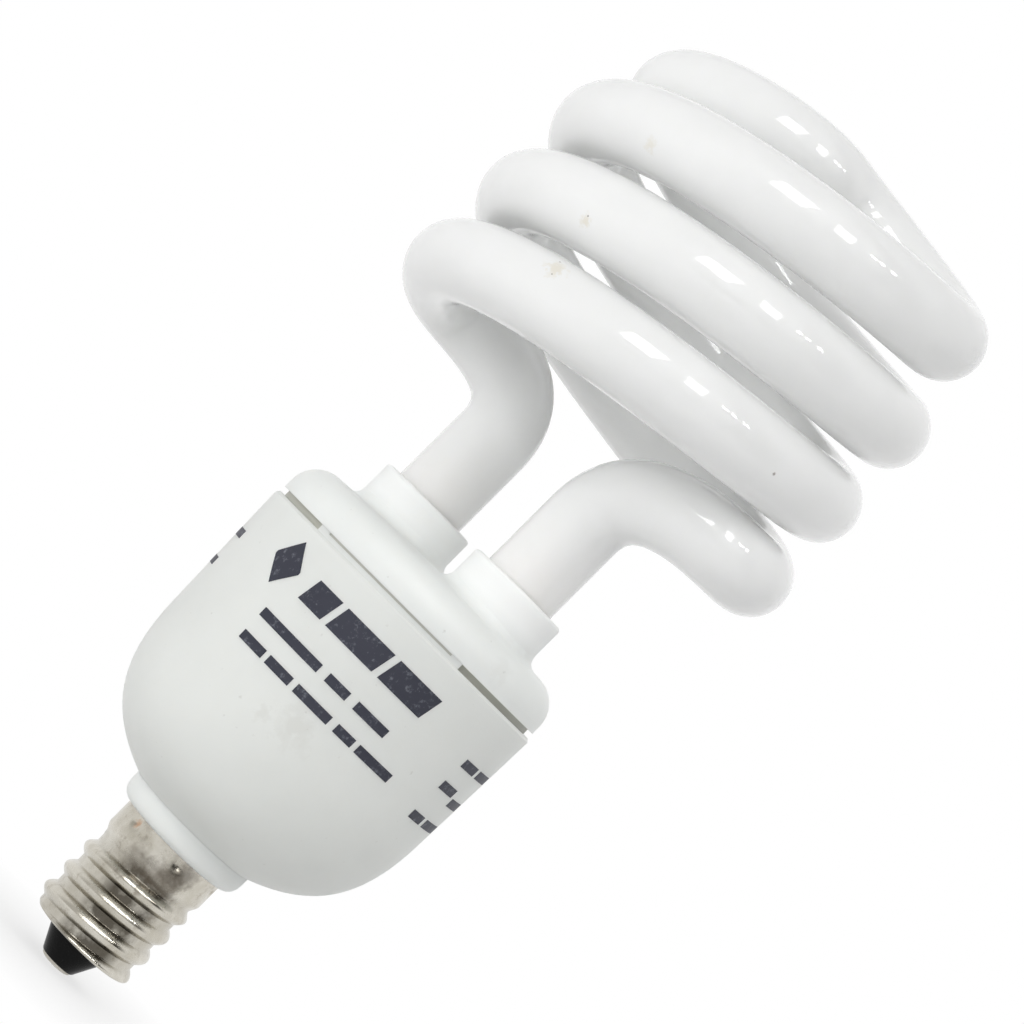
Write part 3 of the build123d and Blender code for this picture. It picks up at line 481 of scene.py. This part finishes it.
def ramp(tree, source, stops):
    """Colour ramp over an output, with stops of (position, colour)."""
    node = tree.nodes.new("ShaderNodeValToRGB")
    while len(node.color_ramp.elements) < len(stops):
        node.color_ramp.elements.new(0.5)
    for element, (position, colour) in zip(node.color_ramp.elements, stops):
        element.position = position
        element.color = (*colour, 1.0)
    tree.links.new(source, node.inputs["Fac"])
    return node.outputs["Color"]


def spread(tree, source, low, high, out_low=0.0, out_high=1.0):
    """Output moved from one range to another, held at its ends."""
    node = tree.nodes.new("ShaderNodeMapRange")
    for socket, value in zip(("From Min", "From Max", "To Min", "To Max"), (low, high, out_low, out_high)):
        node.inputs[socket].default_value = value
    tree.links.new(source, node.inputs["Value"])
    return node.outputs["Result"]


def calc(tree, operation, first, second):
    """Result of a math node, its second value an output or a number."""
    node = tree.nodes.new("ShaderNodeMath")
    node.operation = operation
    tree.links.new(first, node.inputs[0])
    if isinstance(second, (int, float)):
        node.inputs[1].default_value = second
    else:
        tree.links.new(second, node.inputs[1])
    return node.outputs["Value"]


def tint(tree, base, share, colour):
    """Base colour mixed with a colour by a share output."""
    node = tree.nodes.new("ShaderNodeMix")
    node.data_type = "RGBA"
    tree.links.new(share, node.inputs["Factor"])
    tree.links.new(base, node.inputs[6])
    node.inputs[7].default_value = (*colour, 1.0)
    return node.outputs[2]


def bump(tree, shader, height, depth_mm, strength=1.0):
    """Bump on the shader from a height output."""
    node = tree.nodes.new("ShaderNodeBump")
    node.inputs["Distance"].default_value = depth_mm * MM
    node.inputs["Strength"].default_value = strength
    tree.links.new(height, node.inputs["Height"])
    tree.links.new(node.outputs["Normal"], shader.inputs["Normal"])


def near(tree, place, centre, radius_mm, ragged=0.35):
    """Share that falls from 1 at a point in metres to 0 at a ragged edge round it."""
    node = tree.nodes.new("ShaderNodeVectorMath")
    node.operation = "DISTANCE"
    node.inputs[1].default_value = centre
    tree.links.new(place, node.inputs[0])
    edge = noise(tree, place, 1800.0 / radius_mm, 3.0, 0.6)
    worn = calc(tree, "MULTIPLY", spread(tree, edge, 0.3, 0.7, 1 - ragged, 1 + ragged), radius_mm * MM)
    level = calc(tree, "DIVIDE", node.outputs["Value"], worn)
    return spread(tree, level, 0.35, 1.0, 1.0, 0.0)


def height_share(tree, place, low_mm, high_mm):
    """Share that goes from 0 at one height to 1 at another, the first also the higher one."""
    node = tree.nodes.new("ShaderNodeSeparateXYZ")
    tree.links.new(place, node.inputs["Vector"])
    return spread(tree, node.outputs["Z"], low_mm * MM, high_mm * MM)


def dress(piece, finish):
    """One finish on every face."""
    piece.data.materials.clear()
    piece.data.materials.append(finish)


def glass_finish():
    """White coating under clear, smooth glass, with a few stains and a tinted foot."""
    finish, tree, shader, place = material("coated_glass")
    tone = noise(tree, place, 90, 3.0)
    colour = ramp(tree, tone, [(0.3, GLASS_TONES[0]), (0.7, GLASS_TONES[1])])
    foot = height_share(tree, place, FOOT_TINT_Z, COLLAR_TOP_Z)
    foot = calc(tree, "MULTIPLY", foot, noise(tree, place, 350, 4.0, 0.6))
    colour = tint(tree, colour, calc(tree, "MULTIPLY", foot, 0.35), FOOT_TINT)
    stains = [((555, 269), 1.2, 0.32), ((585, 221), 0.7, 0.3), ((650, 145), 0.8, 0.2)]
    for pixel, radius, share in stains:
        mark = near(tree, place, spot_on(glass, pixel), radius, 0.6)
        colour = tint(tree, colour, calc(tree, "MULTIPLY", mark, share), GLASS_STAIN)
    specks = [((774, 474), 0.2), ((560, 262), 0.12), ((552, 274), 0.1), ((588, 216), 0.12)]
    for pixel, radius in specks:
        mark = near(tree, place, spot_on(glass, pixel), radius, 0.3)
        colour = tint(tree, colour, calc(tree, "MULTIPLY", mark, 0.75), GLASS_SPECK)
    tree.links.new(colour, shader.inputs["Base Color"])
    shader.inputs["Roughness"].default_value = 0.6
    shader.inputs["Subsurface Weight"].default_value = 0.5
    shader.inputs["Subsurface Radius"].default_value = (1.0, 1.0, 0.95)
    shader.inputs["Subsurface Scale"].default_value = 1.5 * MM
    shader.inputs["Coat Weight"].default_value = 1.0
    shader.inputs["Coat Roughness"].default_value = 0.015
    shader.inputs["Coat IOR"].default_value = 1.5
    bump(tree, shader, noise(tree, place, 140, 2.0), 0.05, 0.6)
    return finish


def plastic_finish(name, low, high, roughness, marks):
    """Satin moulded plastic: two close tones, grain, specks, given marks, painted light on the collars and
    painted shade in the seam.
    """
    finish, tree, shader, place = material(name)
    colour = ramp(tree, noise(tree, place, 70, 4.0, 0.55), [(0.35, low), (0.65, high)])
    specks = spread(tree, noise(tree, place, 1500, 2.0, 0.4), 0.74, 0.80)
    colour = tint(tree, colour, calc(tree, "MULTIPLY", specks, 0.2), PLASTIC_SPECK)
    for centre, radius, share, shade in marks:
        mark = calc(tree, "MULTIPLY", near(tree, place, centre, radius, 0.6), share)
        colour = tint(tree, colour, mark, shade)
    # Painted light: the collars lighter than the rest of the cover
    colour = tint(tree, colour, height_share(tree, place, *COLLAR_PAINTED_LIGHT_Z), COLLAR_PAINTED_LIGHT)
    # Painted shade: the cover's step and lip inside the seam darker
    if name == "white_plastic":
        above = height_share(tree, place, *SEAM_SHADE_FOOT)
        below = height_share(tree, place, *SEAM_SHADE_HEAD)
        colour = tint(tree, colour, calc(tree, "MULTIPLY", above, below), SEAM_PAINTED_SHADE)
    tree.links.new(colour, shader.inputs["Base Color"])
    wear = spread(tree, noise(tree, place, 260, 3.0), 0.3, 0.7, roughness - 0.05, roughness + 0.07)
    tree.links.new(wear, shader.inputs["Roughness"])
    shader.inputs["Subsurface Weight"].default_value = 0.4
    shader.inputs["Subsurface Radius"].default_value = (1.0, 0.95, 0.9)
    shader.inputs["Subsurface Scale"].default_value = 1.3 * MM
    bump(tree, shader, noise(tree, place, 4200, 2.0, 0.6), 0.012, 0.5)
    return finish


def nickel_finish():
    """Dull nickel plate with brown tarnish and fine rubs, painted shade in the thread valleys, most at the
    front, and painted dark reflections on the front of the skirt.
    """
    finish, tree, shader, place = material("nickel")
    tone = noise(tree, place, 320, 5.0, 0.6)
    colour = ramp(tree, tone, [(0.3, NICKEL_TONES[0]), (0.7, NICKEL_TONES[1])])
    grime = spread(tree, noise(tree, place, 900, 4.0, 0.7), 0.56, 0.78, 0.0, 0.6)
    colour = tint(tree, colour, grime, TARNISH)
    # Painted shade: the thread valleys below the skirt darkened, most round the front point, where it also
    # stands for a dark reflection
    flat = tree.nodes.new("ShaderNodeVectorMath")
    flat.operation = "MULTIPLY"
    flat.inputs[1].default_value = (1, 1, 0)
    tree.links.new(place, flat.inputs[0])
    reach = tree.nodes.new("ShaderNodeVectorMath")
    reach.operation = "LENGTH"
    tree.links.new(flat.outputs["Vector"], reach.inputs[0])
    front = tree.nodes.new("ShaderNodeVectorMath")
    front.operation = "DISTANCE"
    front.inputs[1].default_value = Vector(PAINTED_SHADE_CENTRE) * MM
    tree.links.new(flat.outputs["Vector"], front.inputs[0])
    front_shade = spread(tree, front.outputs["Value"], 2.0 * MM, 3.6 * MM, 0.9, 0.12)
    foot, crest = VALLEY_REACH
    valley_shade = spread(tree, reach.outputs["Value"], foot * MM, crest * MM, 1.0, 0.0)
    low = spread(tree, height_share(tree, place, *VALLEY_TOP_Z), 0.0, 1.0, 1.0, 0.0)
    valley_shade = calc(tree, "MULTIPLY", calc(tree, "MULTIPLY", valley_shade, front_shade), low)
    valley_shade = calc(tree, "MULTIPLY", valley_shade, spread(tree, noise(tree, place, 500, 4.0, 0.6), 0.2, 0.5))
    colour = tint(tree, colour, valley_shade, VALLEY_PAINTED_SHADE)
    # Painted reflection: dark patches on the front of the skirt and the fillet under it
    painted_reflections = [((2.6, -5.0, 14.3), 1.9, 0.6), ((2.2, -5.2, 13.0), 1.9, 0.65), ((0.6, -5.6, 12.6), 2.0, 0.5),
               ((-1.6, -5.4, 12.4), 2.0, 0.45)]
    for centre, radius, share in painted_reflections:
        mark = calc(tree, "MULTIPLY", near(tree, place, Vector(centre) * MM, radius, 0.4), share)
        colour = tint(tree, colour, mark, SKIRT_PAINTED_REFLECTION)
    copper = near(tree, place, Vector((-3.65, -4.3, 14.7)) * MM, 0.55, 0.4)
    colour = tint(tree, colour, calc(tree, "MULTIPLY", copper, 0.7), COPPER_SPOT)
    tree.links.new(colour, shader.inputs["Base Color"])
    shader.inputs["Metallic"].default_value = 1.0
    wear = noise(tree, place, 700, 4.0, 0.65)
    tree.links.new(spread(tree, wear, 0.3, 0.75, 0.16, 0.38), shader.inputs["Roughness"])
    bump(tree, shader, wear, 0.012, 0.7)
    return finish


def ink_finish():
    """Dark slate ink, a little thin in places."""
    finish, tree, shader, place = material("print_ink")
    worn = spread(tree, noise(tree, place, 1600, 4.0, 0.7), 0.55, 0.8)
    colour = ramp(tree, worn, [(0.0, INK_TONES[0]), (1.0, INK_TONES[1])])
    tree.links.new(colour, shader.inputs["Base Color"])
    shader.inputs["Roughness"].default_value = 0.55
    return finish


def plain_finish(name, colour, roughness, metallic=0.0, gloss=0.5):
    """Two tone finish for the small pieces."""
    finish, tree, shader, place = material(name)
    dark = tuple(0.8 * channel for channel in colour)
    tone = ramp(tree, noise(tree, place, 400), [(0.35, dark), (0.65, colour)])
    tree.links.new(tone, shader.inputs["Base Color"])
    wear = noise(tree, place, 1500)
    tree.links.new(spread(tree, wear, 0.3, 0.7, roughness * 0.8, roughness * 1.2), shader.inputs["Roughness"])
    shader.inputs["Metallic"].default_value = metallic
    shader.inputs["Specular IOR Level"].default_value = gloss
    bump(tree, shader, wear, 0.01, 0.5)
    return finish


housing_marks = [(Vector((0.2, -15.7, 31.4)) * MM, 2.2, 0.16, GREY_STAIN),
                 (Vector((-2.6, -15.4, 30.2)) * MM, 0.9, 0.14, GREY_STAIN)]
cover_marks = [(Vector((9.5, -12.4, 47.5)) * MM, 1.4, 0.08, GREY_STAIN)]
finishes = {}
for entry in record["materials"]:
    slot = entry["slot"]
    metal = 1.0 if slot in METAL_SLOTS else 0.0
    finishes[slot] = plain_finish(slot, tuple(entry["base_color"][:3]), PLAIN_ROUGHNESS, metal)
finishes["coated_glass"] = glass_finish()
finishes["housing_plastic"] = plastic_finish(
    "housing_plastic", *HOUSING_TONES, PLASTIC_ROUGHNESS, housing_marks)
finishes["white_plastic"] = plastic_finish("white_plastic", *COVER_TONES, PLASTIC_ROUGHNESS, cover_marks)
finishes["nickel"] = nickel_finish()
finishes["black_insulator"] = plain_finish("black_insulator", (0.006, 0.006, 0.006), 0.25, gloss=0.1)
for name, node in nodes.items():
    dress(node, finishes[slot_of[name]])
dress(glass, finishes["coated_glass"])
dress(cap, finishes["nickel"])
ink = ink_finish()
for piece in prints:
    dress(piece, ink)
dress(lip, finishes["white_plastic"])
dress(neck, finishes["white_plastic"])
dress(insulator, finishes["black_insulator"])
dress(contact, finishes[slot_of["centre_contact"]])


# Lamps: soft boxes light the lamp, and windows of the room stand where the tube mirrors them.
# Each has a name, azimuth, elevation, size in metres and brightness.
BOX_DISTANCE = 0.75
BOX_AIM_Z = 0.07
SOFT_BOXES = (("key", -15, 36, (0.3, 0.3), 3.4),
              ("front_fill", -25, 2, (0.5, 0.4), 3.5),
              ("left_fill", -70, 2, (0.6, 0.6), 1.8),
              ("right_fill", 75, 45, (0.6, 0.6), 1.5),
              ("back_fill", 170, 30, (0.8, 0.6), 1.6))
WINDOWS = (("main_window", -14, 36, (0.22, 0.34), 9.0),
           ("second_window", 18, 36, (0.12, 0.26), 9.0),
           ("small_window_0", 36, 38, (0.04, 0.06), 30.0),
           ("small_window_1", 42, 38, (0.04, 0.06), 30.0),
           ("small_window_2", 50, 38, (0.04, 0.06), 30.0))


def soft_box(name, azimuth, elevation, size, brightness, mirror=False):
    """Area light that faces the lamp, azimuth from the camera's side, positive to its right."""
    light = bpy.data.lights.new(name, "AREA")
    light.shape = "RECTANGLE"
    light.size = size[0]
    light.size_y = size[1]
    light.energy = brightness * pi * size[0] * size[1]
    rig = bpy.data.objects.new(name, light)
    rig.visible_glossy = mirror
    rig.visible_diffuse = not mirror
    bpy.context.scene.collection.objects.link(rig)
    turn, lift = radians(azimuth), radians(elevation)
    away = Vector((sin(turn) * cos(lift), -cos(turn) * cos(lift), sin(lift)))
    rig.location = Vector((0, 0, BOX_AIM_Z)) + away * BOX_DISTANCE
    rig.rotation_euler = away.to_track_quat("Z", "Y").to_euler()


for box in SOFT_BOXES:
    soft_box(*box)
for window in WINDOWS:
    soft_box(*window, mirror=True)

# Sky: even soft light, with a room for the gloss to show: white behind, dimmer on the camera's side
SKY_LEVEL = 0.3
WHITE, BLACK = (1.0, 1.0, 1.0), (0, 0, 0)
LIGHT, DIM, DARK = (0.60, 0.59, 0.57), (0.14, 0.13, 0.12), (0.04, 0.037, 0.033)
ROOM = ((0.0, WHITE), (0.22, WHITE), (0.30, LIGHT), (0.43, LIGHT), (0.46, DIM), (0.60, DIM),
        (0.63, DARK), (0.68, DARK), (0.72, WHITE), (1.0, WHITE))
LAMP_GLOW = (0.9, 0.9, 0.88)
LAMP_SPAN = ((0.43, BLACK), (0.455, WHITE), (0.61, WHITE), (0.63, BLACK))
LAMP_RISE = (0.08, 0.25)
world = bpy.data.worlds.new("studio")
bpy.context.scene.world = world
world.use_nodes = True
sky = world.node_tree
direction = sky.nodes.new("ShaderNodeTexCoord").outputs["Generated"]
glow = sky.nodes["Background"]
glow.inputs["Color"].default_value = (1, 1, 1, 1)
glow.inputs["Strength"].default_value = SKY_LEVEL
split = sky.nodes.new("ShaderNodeSeparateXYZ")
sky.links.new(direction, split.inputs["Vector"])
toward = calc(sky, "MULTIPLY", split.outputs["Y"], -1)
bearing = spread(sky, calc(sky, "ARCTAN2", split.outputs["X"], toward), -pi, pi)
ceiling = calc(sky, "MULTIPLY", ramp(sky, bearing, LAMP_SPAN), spread(sky, split.outputs["Z"], *LAMP_RISE))
room_glow = sky.nodes.new("ShaderNodeBackground")
sky.links.new(tint(sky, ramp(sky, bearing, ROOM), ceiling, LAMP_GLOW), room_glow.inputs["Color"])
plain = sky.nodes.new("ShaderNodeBackground")
plain.inputs["Color"].default_value = (1, 1, 1, 1)
path = sky.nodes.new("ShaderNodeLightPath")
gloss_pick = sky.nodes.new("ShaderNodeMixShader")
sky.links.new(path.outputs["Is Glossy Ray"], gloss_pick.inputs["Fac"])
sky.links.new(glow.outputs["Background"], gloss_pick.inputs[1])
sky.links.new(room_glow.outputs["Background"], gloss_pick.inputs[2])
plain_pick = sky.nodes.new("ShaderNodeMixShader")
seen = calc(sky, "MAXIMUM", path.outputs["Is Camera Ray"], path.outputs["Is Transmission Ray"])
sky.links.new(seen, plain_pick.inputs["Fac"])
sky.links.new(gloss_pick.outputs["Shader"], plain_pick.inputs[1])
sky.links.new(plain.outputs["Background"], plain_pick.inputs[2])
sky.links.new(plain_pick.outputs["Shader"], sky.nodes["World Output"].inputs["Surface"])

# Floor: white paper that keeps the lamp's shadow near its tip
FLOOR_HALF = 3000.0
FLOOR_Z = -0.05
PAPER = (0.78, 0.78, 0.78, 1)
PAPER_ROUGHNESS = 0.9
SHADOW_NEAR = 3.0
SHADOW_FAR = 26.0
SHADOW_SHARE = 0.32


def paper_finish():
    """Matt paper, white to camera, glossy and transmission rays but for the shadow round the tip."""
    finish, tree, shader, place = material("floor_paper")
    shader.inputs["Base Color"].default_value = PAPER
    shader.inputs["Roughness"].default_value = PAPER_ROUGHNESS
    bump(tree, shader, noise(tree, place, 900), 0.02, 0.2)
    reach = tree.nodes.new("ShaderNodeVectorMath")
    reach.operation = "LENGTH"
    tree.links.new(place, reach.inputs[0])
    near_tip, far_off = SHADOW_NEAR * MM, SHADOW_FAR * MM
    white_share = spread(tree, reach.outputs["Value"], near_tip, far_off, 1 - SHADOW_SHARE, 1.0)
    rays = tree.nodes.new("ShaderNodeLightPath").outputs
    seen = calc(tree, "MAXIMUM", rays["Is Camera Ray"], rays["Is Transmission Ray"])
    seen = calc(tree, "MAXIMUM", seen, rays["Is Glossy Ray"])
    seen = calc(tree, "MULTIPLY", seen, white_share)
    glow_paper = tree.nodes.new("ShaderNodeEmission")
    mix = tree.nodes.new("ShaderNodeMixShader")
    tree.links.new(seen, mix.inputs["Fac"])
    tree.links.new(shader.outputs["BSDF"], mix.inputs[1])
    tree.links.new(glow_paper.outputs["Emission"], mix.inputs[2])
    tree.links.new(mix.outputs["Shader"], tree.nodes["Material Output"].inputs["Surface"])
    return finish


corners = [(x * FLOOR_HALF, y * FLOOR_HALF, FLOOR_Z) for x, y in ((-1, -1), (1, -1), (1, 1), (-1, 1))]
floor = new_object("floor", corners, [(0, 1, 2, 3)], shade_smooth=False)
dress(floor, paper_finish())
